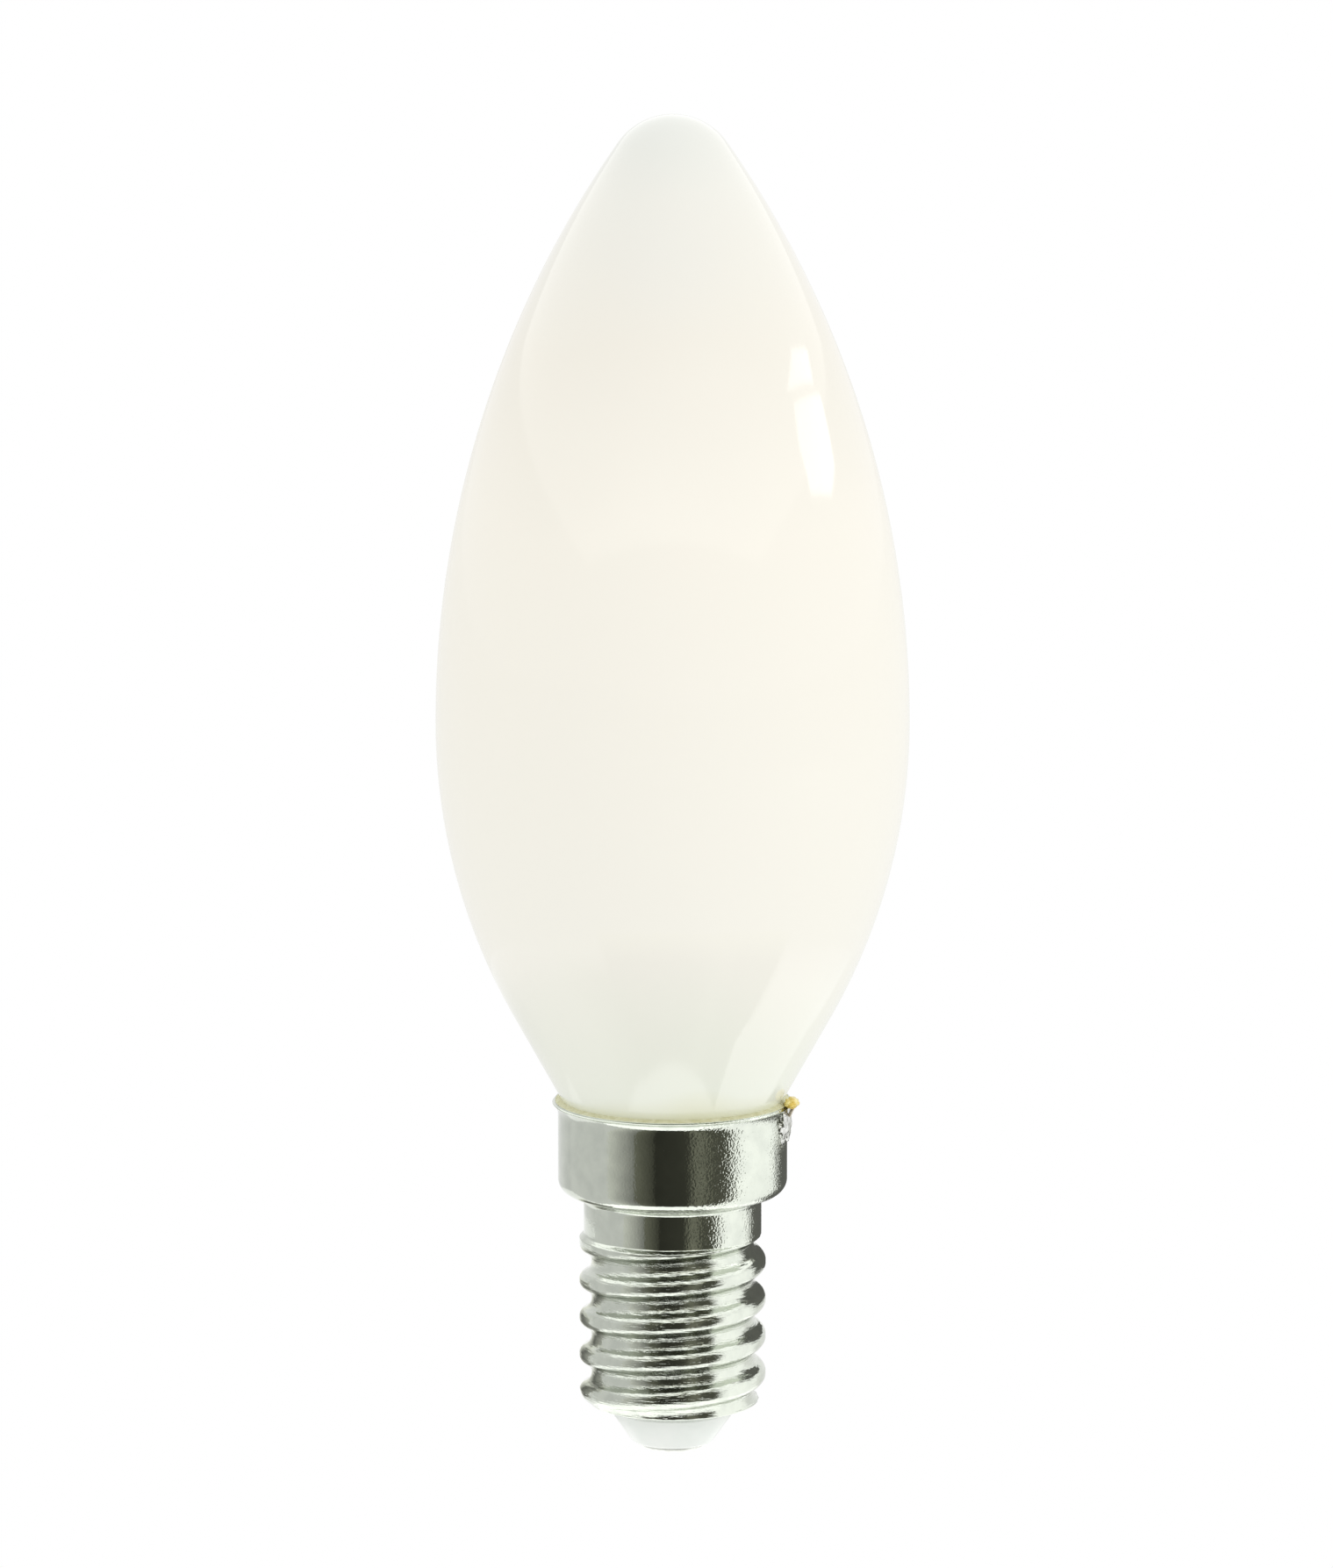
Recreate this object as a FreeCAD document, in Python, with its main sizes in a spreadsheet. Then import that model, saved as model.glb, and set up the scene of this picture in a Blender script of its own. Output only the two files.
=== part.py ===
# Candle bulb with a small Edison screw cap, millimetres, standing tip up.
# The origin is the middle of the contact's flat face; the axis of the bulb is Z.
# The camera side is -Y, and the side lead is soldered to the skirt near +X.

import FreeCAD, Part
import math
import os
import Sketcher
from FreeCAD import Placement, Rotation, Vector

PARTS_FOLDER = "parts"
FULL_TURN = 360

# Driving dimensions: name, value in millimetres, degrees or turns
DIMENSIONS = [
    ("overall_length", 100),
    ("bulb_diameter", 35),
    ("belly_height", 54.8),
    ("tip_radius", 4.9),
    ("neck_cone_angle", 29.2),
    ("neck_flare_radius", 8),
    ("neck_gap", 0.85),
    ("neck_flare_rise", 3.9),
    ("neck_end_rise", 2.2),
    ("neck_end_corner", 1),
    ("stub_diameter", 4),
    ("stub_length", 6.5),
    ("sheet_thickness", 0.25),
    ("skirt_diameter", 17),
    ("skirt_base_height", 19),
    ("skirt_height", 6.3),
    ("skirt_corner_radius", 1.1),
    ("underside_angle", 20),
    ("step_fillet_radius", 0.45),
    ("flare_radius", 1.15),
    ("flare_angle", 56),
    ("band_diameter", 13.2),
    ("band_base_height", 16.3),
    ("band_turn_angle", 45),
    ("thread_diameter", 13.85),
    ("thread_depth", 0.9),
    ("thread_pitch", 2.822),
    ("crest_cut", 0.02),
    ("groove_height", 15.55),
    ("groove_overrun", 0.3),
    ("ridge_overrun", 0.08),
    ("base_cone_angle", 20),
    ("base_corner_radius", 1.5),
    ("opening_diameter", 8.8),
    ("opening_height", 2.75),
    ("cement_below_lip", 0.12),
    ("cement_rise", 0.2),
    ("insulator_clearance", 0.05),
    ("insulator_height", 4.6),
    ("insulator_face_diameter", 5),
    ("insulator_corner_radius", 0.8),
    ("insulator_cone_angle", 35),
    ("contact_diameter", 4.6),
    ("contact_thickness", 0.35),
    ("contact_edge_radius", 0.2),
    ("contact_shank_diameter", 2),
    ("contact_shank_height", 3.6),
    ("lead_diameter", 0.25),
    ("lead_clearance", 0.05),
    ("lead_spacing", 6.4),
    ("lead_bend_radius", 0.5),
    ("lead_depth", 0.85),
    ("side_lead_azimuth", -14),
    ("side_lead_wrap_angle", 25),
    ("side_lead_tail", 1.2),
    ("centre_lead_bend_height", 11),
    ("centre_lead_slant_height", 4),
    ("solder_outset", 0.05),
    ("solder_drop", 0.4),
    ("solder_half_height", 1.5),
    ("solder_half_width", 1.2),
    ("solder_half_depth", 0.42),
    ("flux_outset", 0.17),
    ("flux_rise", 0.31),
    ("flux_radius", 0.55),
]

doc = FreeCAD.newDocument("CandleBulb")


# Sheet of driving dimensions
def fill_sheet():
    sheet = doc.addObject("Spreadsheet::Sheet", "Dims")
    for row, (name, value) in enumerate(DIMENSIONS, start=1):
        sheet.set(f"A{row}", name)
        sheet.set(f"B{row}", str(value))
        sheet.setAlias(f"B{row}", name)
    doc.recompute()
    return sheet


dims = fill_sheet()
worked = doc.addObject("App::VarSet", "Worked")


def work_out(name, expression):
    """Add a value that follows from the driving dimensions."""
    worked.addProperty("App::PropertyFloat", name)
    worked.setExpression(name, expression)
    worked.recompute()


# Values that several pieces share
def work_out_glass():
    work_out("bulb_radius", "Dims.bulb_diameter / 2")
    work_out("tip_rise", "Dims.overall_length - Dims.belly_height")
    work_out(
        "upper_flank_radius",
        "(Worked.bulb_radius ^ 2 + Worked.tip_rise ^ 2 - 2 * Worked.tip_rise * Dims.tip_radius)"
        " / (2 * (Worked.bulb_radius - Dims.tip_radius))",
    )
    work_out("upper_centre_x", "Worked.bulb_radius - Worked.upper_flank_radius")
    work_out(
        "tip_angle",
        "acos(-Worked.upper_centre_x / (Worked.upper_flank_radius - Dims.tip_radius))",
    )
    work_out("neck_radius", "Dims.skirt_diameter / 2 - Dims.sheet_thickness - Dims.neck_gap")
    work_out("neck_flare_x", "Worked.neck_radius + Dims.neck_flare_radius")
    work_out("neck_flare_z", "Dims.skirt_base_height + Dims.neck_flare_rise")
    work_out("neck_end_z", "Dims.skirt_base_height + Dims.neck_end_rise")
    work_out(
        "cone_foot_x",
        "Worked.neck_flare_x - Dims.neck_flare_radius * cos(Dims.neck_cone_angle)",
    )
    work_out(
        "cone_foot_z",
        "Worked.neck_flare_z + Dims.neck_flare_radius * sin(Dims.neck_cone_angle)",
    )
    work_out(
        "lower_flank_radius",
        "((Dims.belly_height - Worked.cone_foot_z) * tan(Dims.neck_cone_angle)"
        " - Worked.bulb_radius + Worked.cone_foot_x) / (1 / cos(Dims.neck_cone_angle) - 1)",
    )
    work_out(
        "cone_top_x",
        "Worked.bulb_radius - Worked.lower_flank_radius * (1 - cos(Dims.neck_cone_angle))",
    )
    work_out(
        "cone_top_z",
        "Dims.belly_height - Worked.lower_flank_radius * sin(Dims.neck_cone_angle)",
    )
    work_out("stub_radius", "Dims.stub_diameter / 2")
    work_out("stub_end_z", "Worked.neck_end_z - Dims.stub_length")


def work_out_cap():
    work_out("skirt_radius", "Dims.skirt_diameter / 2")
    work_out("band_radius", "Dims.band_diameter / 2")
    work_out("thread_radius", "Dims.thread_diameter / 2")
    work_out("opening_radius", "Dims.opening_diameter / 2")
    work_out("base_corner_x", "Worked.thread_radius - Dims.base_corner_radius")
    work_out(
        "base_corner_z",
        "Dims.opening_height"
        " + (Worked.base_corner_x - Worked.opening_radius) * tan(Dims.base_cone_angle)"
        " + Dims.base_corner_radius / cos(Dims.base_cone_angle)",
    )
    work_out("step_fillet_x", "Worked.band_radius + Dims.step_fillet_radius")
    work_out(
        "step_fillet_z",
        "Dims.skirt_base_height + Dims.step_fillet_radius * tan(Dims.underside_angle)"
        " - Dims.step_fillet_radius / cos(Dims.underside_angle)",
    )
    work_out("skirt_corner_x", "Worked.skirt_radius - Dims.skirt_corner_radius")
    work_out(
        "skirt_corner_z",
        "Dims.skirt_base_height"
        " + (Worked.skirt_corner_x - Worked.band_radius) * tan(Dims.underside_angle)"
        " + Dims.skirt_corner_radius / cos(Dims.underside_angle)",
    )
    work_out("flare_x", "Worked.skirt_radius + Dims.flare_radius")
    work_out("flare_z", "Dims.skirt_base_height + Dims.skirt_height")
    work_out("inner_flare_radius", "Dims.flare_radius + Dims.sheet_thickness")
    work_out("inner_skirt_radius", "Worked.skirt_radius - Dims.sheet_thickness")


def work_out_thread():
    work_out("full_depth", "Dims.thread_depth + Dims.crest_cut")
    work_out(
        "thread_arc",
        "(Worked.full_depth ^ 2 + (Dims.thread_pitch / 2) ^ 2) / (4 * Worked.full_depth)",
    )
    work_out("root_radius", "Worked.thread_radius - Dims.thread_depth")
    work_out("groove_centre_x", "Worked.root_radius + Worked.thread_arc")
    work_out("flank_x", "(Worked.root_radius + Worked.thread_radius + Dims.crest_cut) / 2")
    work_out("flank_angle", "acos((Worked.groove_centre_x - Worked.flank_x) / Worked.thread_arc)")
    work_out("groove_edge_x", "Worked.thread_radius + Dims.crest_cut / 2")
    work_out("groove_half_width", "Dims.thread_pitch / 2 - sqrt(Worked.thread_arc * Dims.crest_cut)")
    work_out("ridge_radius", "Worked.root_radius - Dims.sheet_thickness")
    work_out(
        "thread_turns",
        "ceil((Dims.groove_height - Dims.opening_height) / Dims.thread_pitch)",
    )
    work_out("thread_start_z", "Dims.groove_height - Worked.thread_turns * Dims.thread_pitch")


def work_out_lead():
    work_out("lead_radius", "Dims.lead_diameter / 2")
    work_out("lead_start_x", "Dims.lead_spacing / 2")
    work_out("lead_flare_radius", "Worked.inner_flare_radius + Worked.lead_radius + Dims.lead_clearance")
    work_out("lead_gap_x", "Worked.flare_x - Worked.lead_flare_radius")
    work_out("lead_run_z", "Worked.neck_end_z - Dims.lead_depth")
    work_out("rim_radius", "Dims.flare_radius + Dims.sheet_thickness / 2")
    work_out("rim_x", "Worked.flare_x - Worked.rim_radius * cos(Dims.flare_angle)")
    work_out("rim_z", "Worked.flare_z + Worked.rim_radius * sin(Dims.flare_angle)")
    work_out("lead_wrap_radius", "Worked.lead_flare_radius - Worked.rim_radius")
    work_out("wrap_end_angle", "-Dims.side_lead_wrap_angle")


def work_out_base():
    work_out("plug_radius", "Worked.opening_radius - Dims.insulator_clearance")
    work_out("flange_radius", "Worked.ridge_radius - Dims.insulator_clearance")
    work_out("face_radius", "Dims.insulator_face_diameter / 2")
    work_out("corner_z", "Dims.contact_thickness + Dims.insulator_corner_radius")
    work_out("sheet_drop", "Dims.sheet_thickness / cos(Dims.base_cone_angle)")
    work_out("shank_radius", "Dims.contact_shank_diameter / 2")
    work_out("head_radius", "Dims.contact_diameter / 2")
    work_out("bore_radius", "Worked.lead_radius + Dims.lead_clearance")


def work_out_cement():
    work_out(
        "cement_outer_z",
        "Worked.flare_z + Worked.inner_flare_radius * sin(Dims.flare_angle) - Dims.cement_below_lip",
    )
    work_out("cement_inner_z", "Worked.cement_outer_z + Dims.cement_rise")
    work_out(
        "cement_outer_x",
        "Worked.flare_x"
        " - sqrt(Worked.inner_flare_radius ^ 2 - (Worked.cement_outer_z - Worked.flare_z) ^ 2)",
    )
    work_out(
        "cement_inner_x",
        "Worked.neck_flare_x"
        " - sqrt(Dims.neck_flare_radius ^ 2 - (Worked.cement_inner_z - Worked.neck_flare_z) ^ 2)",
    )


work_out_glass()
work_out_cap()
work_out_thread()
work_out_lead()
work_out_base()
work_out_cement()


# Sketches
LEFT = 1
RIGHT = -1
CENTRE_POINT = 3
# Cutters reach this far past the surface that they cut
CUT_MARGIN = "1"


def value(expression):
    return float(worked.evalExpression(expression))


def on_circle(centre_x, centre_z, radius, angle):
    """A point on a circle, as two expressions; the angle is counted from +X."""
    return (
        f"{centre_x} + ({radius}) * cos({angle})",
        f"{centre_z} + ({radius}) * sin({angle})",
    )


def origin_plane(body, role):
    for feature in body.Origin.OriginFeatures:
        if feature.Role == role:
            return feature


def new_sketch(body, name, role):
    sketch = body.newObject("Sketcher::SketchObject", name)
    sketch.AttachmentSupport = [(origin_plane(body, role), "")]
    sketch.MapMode = "FlatFace"
    return sketch


def bind(sketch, constraint, expression):
    index = sketch.addConstraint(constraint)
    sketch.setExpression(f"Constraints[{index}]", expression)


def arc_through(start, end, radius, side):
    """The shorter arc from start to end; side says where its centre lies as one travels."""
    chord = end - start
    half = chord.Length / 2
    across = Vector(-chord.y, chord.x, 0).normalize() * side
    centre = (start + end) / 2 + across * math.sqrt(max(radius ** 2 - half ** 2, 0))
    first, last = (start, end) if side == LEFT else (end, start)
    first_angle = math.atan2(first.y - centre.y, first.x - centre.x)
    last_angle = math.atan2(last.y - centre.y, last.x - centre.x)
    if last_angle < first_angle:
        last_angle += 2 * math.pi
    circle = Part.Circle(centre, Vector(0, 0, 1), radius)
    return Part.ArcOfCircle(circle, first_angle, last_angle)


def draw_outline(sketch, corners, closed=True):
    """Join corners by edges. A corner is x and z and, where the edge to it is round, radius and side."""
    points = [Vector(value(corner[0]), value(corner[1]), 0) for corner in corners]
    count = len(corners) if closed else len(corners) - 1
    ends = []
    for index in range(count):
        following = (index + 1) % len(corners)
        start, end, corner = points[index], points[following], corners[following]
        if len(corner) == 2:
            edge = sketch.addGeometry(Part.LineSegment(start, end), False)
            ends.append((edge, 1, 2))
            continue
        radius, side = corner[2:]
        edge = sketch.addGeometry(arc_through(start, end, value(radius), side), False)
        ends.append((edge, 1, 2) if side == LEFT else (edge, 2, 1))
        bind(sketch, Sketcher.Constraint("Radius", edge, value(radius)), radius)
    for index, (edge, start, end) in enumerate(ends):
        place_point(sketch, edge, start, corners[index])
        if index:
            before, _, before_end = ends[index - 1]
            sketch.addConstraint(Sketcher.Constraint("Coincident", before, before_end, edge, start))
    last_edge, _, last_end = ends[-1]
    if closed:
        first_edge, first_start, _ = ends[0]
        sketch.addConstraint(
            Sketcher.Constraint("Coincident", last_edge, last_end, first_edge, first_start)
        )
    else:
        place_point(sketch, last_edge, last_end, corners[-1])
    return [f"Edge{edge + 1}" for edge, _, _ in ends]


def place_point(sketch, edge, position, corner):
    for direction, expression in (("DistanceX", corner[0]), ("DistanceY", corner[1])):
        constraint = Sketcher.Constraint(direction, -1, 1, edge, position, value(expression))
        bind(sketch, constraint, expression)


def new_body(name):
    body = doc.addObject("PartDesign::Body", name)
    body.Label = name
    return body


def revolve(body, name, corners):
    """Turn an outline in the XZ plane about the axis of the bulb."""
    sketch = new_sketch(body, f"{name}_outline", "YZ_Plane")
    draw_outline(sketch, corners)
    turned = body.newObject("PartDesign::Revolution", name)
    turned.Profile = sketch
    turned.ReferenceAxis = (sketch, ["V_Axis"])
    turned.Angle = FULL_TURN
    return turned


def cut(name, base, tool):
    result = doc.addObject("Part::Cut", name)
    result.Label = name
    result.Base = base
    result.Tool = tool
    return result


# Glass: one sealed opal bulb with its neck and the stub of its exhaust tube
def make_glass_bulb():
    body = new_body("glass_bulb")
    revolve(body, "blown_bulb", [
        ("0", "Worked.stub_end_z"),
        ("Worked.stub_radius", "Worked.stub_end_z + Worked.stub_radius", "Worked.stub_radius", LEFT),
        ("Worked.stub_radius", "Worked.neck_end_z"),
        ("Worked.neck_radius - Dims.neck_end_corner", "Worked.neck_end_z"),
        (
            "Worked.neck_radius",
            "Worked.neck_end_z + Dims.neck_end_corner",
            "Dims.neck_end_corner",
            LEFT,
        ),
        ("Worked.neck_radius", "Worked.neck_flare_z"),
        ("Worked.cone_foot_x", "Worked.cone_foot_z", "Dims.neck_flare_radius", RIGHT),
        ("Worked.cone_top_x", "Worked.cone_top_z"),
        ("Worked.bulb_radius", "Dims.belly_height", "Worked.lower_flank_radius", LEFT),
        (
            *on_circle(
                "Worked.upper_centre_x",
                "Dims.belly_height",
                "Worked.upper_flank_radius",
                "Worked.tip_angle",
            ),
            "Worked.upper_flank_radius",
            LEFT,
        ),
        ("0", "Dims.overall_length", "Dims.tip_radius", LEFT),
    ])
    return body


# Cap: one sheet, drawn, flared at the lip, threaded by rollers and turned in at the bottom
def wall_outline(inset):
    """The cap's side, from the turned-in bottom to the flared lip, moved inwards by inset."""
    blend = "(Worked.thread_radius - Worked.band_radius) / tan(Dims.band_turn_angle)"
    mitre = f"({inset}) * tan(Dims.band_turn_angle / 2)"
    thread_x = f"Worked.thread_radius - ({inset})"
    band_x = f"Worked.band_radius - ({inset})"
    base_radius = f"Dims.base_corner_radius - ({inset})"
    step_radius = f"Dims.step_fillet_radius + ({inset})"
    corner_radius = f"Dims.skirt_corner_radius - ({inset})"
    flare_radius = f"Dims.flare_radius + ({inset})"
    return [
        ("Worked.opening_radius", f"Dims.opening_height + ({inset}) / cos(Dims.base_cone_angle)"),
        on_circle(
            "Worked.base_corner_x",
            "Worked.base_corner_z",
            base_radius,
            "Dims.base_cone_angle - 90",
        ),
        (thread_x, "Worked.base_corner_z", base_radius, LEFT),
        (thread_x, f"Dims.band_base_height - {blend} - {mitre}"),
        (band_x, f"Dims.band_base_height - {mitre}"),
        (band_x, "Worked.step_fillet_z"),
        (
            *on_circle(
                "Worked.step_fillet_x",
                "Worked.step_fillet_z",
                step_radius,
                "Dims.underside_angle + 90",
            ),
            step_radius,
            RIGHT,
        ),
        on_circle(
            "Worked.skirt_corner_x",
            "Worked.skirt_corner_z",
            corner_radius,
            "Dims.underside_angle - 90",
        ),
        (f"Worked.skirt_radius - ({inset})", "Worked.skirt_corner_z", corner_radius, LEFT),
        (f"Worked.skirt_radius - ({inset})", "Worked.flare_z"),
        (
            *on_circle("Worked.flare_x", "Worked.flare_z", flare_radius, "180 - Dims.flare_angle"),
            flare_radius,
            RIGHT,
        ),
    ]


def add_helix(body, name, sketch, turns):
    helix = body.newObject("PartDesign::SubtractiveHelix", name)
    helix.Profile = sketch
    helix.ReferenceAxis = (sketch, ["V_Axis"])
    helix.Mode = "pitch-height-angle"
    helix.setExpression("Pitch", "Dims.thread_pitch")
    helix.setExpression("Height", f"({turns}) * Dims.thread_pitch")
    helix.LeftHanded = False


def add_groove(body):
    """The rolled groove: a round root between the rounded sides of two crests."""
    sketch = new_sketch(body, "groove_section", "XZ_Plane")
    outer_x = f"Worked.thread_radius + {CUT_MARGIN}"
    low = "Worked.thread_start_z - Worked.groove_half_width"
    high = "Worked.thread_start_z + Worked.groove_half_width"
    draw_outline(sketch, [
        (outer_x, low),
        ("Worked.groove_edge_x", low),
        ("Worked.flank_x", "Worked.thread_start_z - Dims.thread_pitch / 4", "Worked.thread_arc", LEFT),
        ("Worked.flank_x", "Worked.thread_start_z + Dims.thread_pitch / 4", "Worked.thread_arc", RIGHT),
        ("Worked.groove_edge_x", high, "Worked.thread_arc", LEFT),
        (outer_x, high),
    ])
    add_helix(body, "groove", sketch, "Worked.thread_turns + Dims.groove_overrun")


def make_cap_outside():
    body = new_body("cap_outside")
    end_face = on_circle(
        "Worked.flare_x",
        "Worked.flare_z",
        "Dims.flare_radius + 2 * Dims.sheet_thickness",
        "180 - Dims.flare_angle",
    )
    revolve(body, "drawn_outside", [
        ("0", "Dims.opening_height"),
        *wall_outline("0"),
        end_face,
        ("0", end_face[1]),
    ])
    doc.recompute()
    add_groove(body)
    return body


def add_ridge(body):
    """The ridge that the roller raises inside, one sheet thickness behind the groove."""
    sketch = new_sketch(body, "ridge_section", "XZ_Plane")
    flank_x = "(Worked.flank_x - Dims.sheet_thickness * cos(Worked.flank_angle))"
    flank_z = "(Dims.thread_pitch / 4 + Dims.sheet_thickness * sin(Worked.flank_angle))"
    top = f"({flank_z} + (Worked.ridge_radius - {flank_x}) / tan(Worked.flank_angle))"
    foot = f"({flank_z} + (Worked.thread_radius - {flank_x}) / tan(Worked.flank_angle))"
    outer_x = f"Worked.thread_radius + {CUT_MARGIN}"
    draw_outline(sketch, [
        (outer_x, f"Worked.thread_start_z - {foot}"),
        ("Worked.thread_radius", f"Worked.thread_start_z - {foot}"),
        ("Worked.ridge_radius", f"Worked.thread_start_z - {top}"),
        ("Worked.ridge_radius", f"Worked.thread_start_z + {top}"),
        ("Worked.thread_radius", f"Worked.thread_start_z + {foot}"),
        (outer_x, f"Worked.thread_start_z + {foot}"),
    ])
    add_helix(body, "ridge", sketch, "Worked.thread_turns + Dims.groove_overrun + Dims.ridge_overrun")


def make_cap_inside():
    body = new_body("cap_inside")
    side = wall_outline("Dims.sheet_thickness")
    lip_x, lip_z = side[-1][:2]
    past_lip_z = f"{lip_z} + {CUT_MARGIN} * cos(Dims.flare_angle)"
    below = f"Dims.opening_height - {CUT_MARGIN}"
    revolve(body, "drawn_inside", [
        ("0", below),
        ("Worked.opening_radius", below),
        *side,
        (f"{lip_x} + {CUT_MARGIN} * sin(Dims.flare_angle)", past_lip_z),
        ("0", past_lip_z),
    ])
    doc.recompute()
    add_ridge(body)
    return body


# Cement: the pale ring that holds the glass in the skirt, seen between the lip and the glass
def make_cement_base():
    body = new_body("cement_base")
    revolve(body, "cement_fill", [
        ("Worked.neck_radius", "Worked.neck_flare_z", "Dims.neck_flare_radius", LEFT),
        ("Worked.inner_skirt_radius", "Worked.neck_flare_z"),
        ("Worked.inner_skirt_radius", "Worked.flare_z"),
        ("Worked.cement_outer_x", "Worked.cement_outer_z", "Worked.inner_flare_radius", RIGHT),
        ("Worked.cement_inner_x", "Worked.cement_inner_z"),
    ])
    return body


# Insulator: the white plug in the cap's bottom
def on_bottom(radius):
    """Height of the inner face of the cap's turned-in bottom at a radius."""
    return (
        "Dims.opening_height + Worked.sheet_drop"
        f" + ({radius} - Worked.opening_radius) * tan(Dims.base_cone_angle)"
    )


def make_insulator():
    body = new_body("insulator")
    corner_x = "Worked.face_radius + Dims.insulator_corner_radius * cos(Dims.insulator_cone_angle)"
    corner_z = "Worked.corner_z - Dims.insulator_corner_radius * sin(Dims.insulator_cone_angle)"
    plug_z = f"{corner_z} + (Worked.plug_radius - ({corner_x})) / tan(Dims.insulator_cone_angle)"
    revolve(body, "moulded_plug", [
        ("Worked.shank_radius", "Dims.contact_thickness"),
        ("Worked.face_radius", "Dims.contact_thickness"),
        (corner_x, corner_z, "Dims.insulator_corner_radius", LEFT),
        ("Worked.plug_radius", plug_z),
        ("Worked.plug_radius", on_bottom("Worked.plug_radius")),
        ("Worked.flange_radius", on_bottom("Worked.flange_radius")),
        ("Worked.flange_radius", "Dims.insulator_height"),
        ("Worked.shank_radius", "Dims.insulator_height"),
    ])
    return body


# Centre contact: a rivet with a blind hole that takes the end of its lead
def make_centre_contact():
    body = new_body("centre_contact")
    revolve(body, "rivet", [
        ("0", "0"),
        ("Worked.head_radius - Dims.contact_edge_radius", "0"),
        ("Worked.head_radius", "Dims.contact_edge_radius", "Dims.contact_edge_radius", LEFT),
        ("Worked.head_radius", "Dims.contact_thickness"),
        ("Worked.shank_radius", "Dims.contact_thickness"),
        ("Worked.shank_radius", "Dims.contact_shank_height"),
        ("Worked.bore_radius", "Dims.contact_shank_height"),
        ("Worked.bore_radius", "Dims.contact_thickness"),
        ("0", "Dims.contact_thickness"),
    ])
    return body


# Leads: bare round wire from the foot of the glass to the two contacts
def bend_wire(name, corners):
    """A round wire along corners that start straight down from the foot of the glass."""
    body = new_body(name)
    path = new_sketch(body, f"{name}_path", "XZ_Plane")
    edges = draw_outline(path, corners, closed=False)
    section = new_sketch(body, f"{name}_section", "XY_Plane")
    section.setExpression("AttachmentOffset.Base.z", corners[0][1])
    middle = Vector(value(corners[0][0]), 0, 0)
    radius = value("Worked.lead_radius")
    circle = section.addGeometry(Part.Circle(middle, Vector(0, 0, 1), radius), False)
    bind(section, Sketcher.Constraint("Radius", circle, radius), "Worked.lead_radius")
    place_point(section, circle, CENTRE_POINT, (corners[0][0], "0"))
    wire = body.newObject("PartDesign::AdditivePipe", f"{name}_wire")
    wire.Profile = section
    wire.Spine = (path, edges)
    return body


def make_side_lead():
    bend = "Dims.lead_bend_radius"
    flare_end = "180 - Dims.flare_angle"
    wrap_end = on_circle(
        "Worked.rim_x",
        "Worked.rim_z",
        "Worked.lead_wrap_radius",
        "Worked.wrap_end_angle",
    )
    body = bend_wire("side_lead", [
        ("Worked.lead_start_x", "Worked.neck_end_z"),
        ("Worked.lead_start_x", f"Worked.lead_run_z + {bend}"),
        (f"Worked.lead_start_x + {bend}", "Worked.lead_run_z", bend, LEFT),
        (f"Worked.lead_gap_x - {bend}", "Worked.lead_run_z"),
        ("Worked.lead_gap_x", f"Worked.lead_run_z + {bend}", bend, LEFT),
        ("Worked.lead_gap_x", "Worked.flare_z"),
        (
            *on_circle("Worked.flare_x", "Worked.flare_z", "Worked.lead_flare_radius", flare_end),
            "Worked.lead_flare_radius",
            RIGHT,
        ),
        (
            *on_circle("Worked.rim_x", "Worked.rim_z", "Worked.lead_wrap_radius", "90"),
            "Worked.lead_wrap_radius",
            RIGHT,
        ),
        (*wrap_end, "Worked.lead_wrap_radius", RIGHT),
        (
            f"{wrap_end[0]} - Dims.side_lead_tail * sin(Dims.side_lead_wrap_angle)",
            f"{wrap_end[1]} - Dims.side_lead_tail * cos(Dims.side_lead_wrap_angle)",
        ),
    ])
    body.setExpression("Placement.Rotation.Angle", "Dims.side_lead_azimuth")
    return body


def make_centre_lead():
    body = bend_wire("centre_lead", [
        ("Worked.lead_start_x", "Worked.neck_end_z"),
        ("Worked.lead_start_x", "Dims.centre_lead_bend_height"),
        ("0", "Dims.centre_lead_bend_height - Dims.centre_lead_slant_height"),
        ("0", "Dims.contact_thickness"),
    ])
    body.Placement = Placement(Vector(), Rotation(Vector(0, 0, 1), FULL_TURN / 2))
    return body


# Solder and flux: rounded drops laid against the cap over the side lead
def place_drop(drop, from_axis, height):
    drop.setExpression("Placement.Base.x", f"{from_axis} * cos(Dims.side_lead_azimuth)")
    drop.setExpression("Placement.Base.y", f"{from_axis} * sin(Dims.side_lead_azimuth)")
    drop.setExpression("Placement.Base.z", height)
    drop.setExpression("Placement.Rotation.Angle", "Dims.side_lead_azimuth")


def make_side_solder():
    drop = doc.addObject("Part::Ellipsoid", "solder_drop")
    drop.setExpression("Radius1", "Dims.solder_half_height")
    drop.setExpression("Radius2", "Dims.solder_half_depth")
    drop.setExpression("Radius3", "Dims.solder_half_width")
    place_drop(
        drop,
        "(Worked.skirt_radius + Dims.solder_outset)",
        "Worked.flare_z - Dims.solder_drop",
    )
    outside = cut("solder_outside", drop, cap_outside)
    return cut("side_solder", outside, side_lead)


def make_flux_bead():
    drop = doc.addObject("Part::Sphere", "flux_drop")
    drop.setExpression("Radius", "Dims.flux_radius")
    place_drop(drop, "(Worked.rim_x + Dims.flux_outset)", "Worked.rim_z + Dims.flux_rise")
    outside = cut("flux_outside", drop, cap_outside)
    return cut("flux_bead", outside, side_lead)


glass_bulb = make_glass_bulb()
cap_outside = make_cap_outside()
cap_inside = make_cap_inside()
doc.recompute()
cap_shell = cut("cap_shell", cap_outside, cap_inside)
insulator = make_insulator()
centre_contact = make_centre_contact()
side_lead = make_side_lead()
centre_lead = make_centre_lead()
doc.recompute()
cement_ring = cut("cement_ring", make_cement_base(), side_lead)
side_solder = make_side_solder()
flux_bead = make_flux_bead()
doc.recompute()

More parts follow.
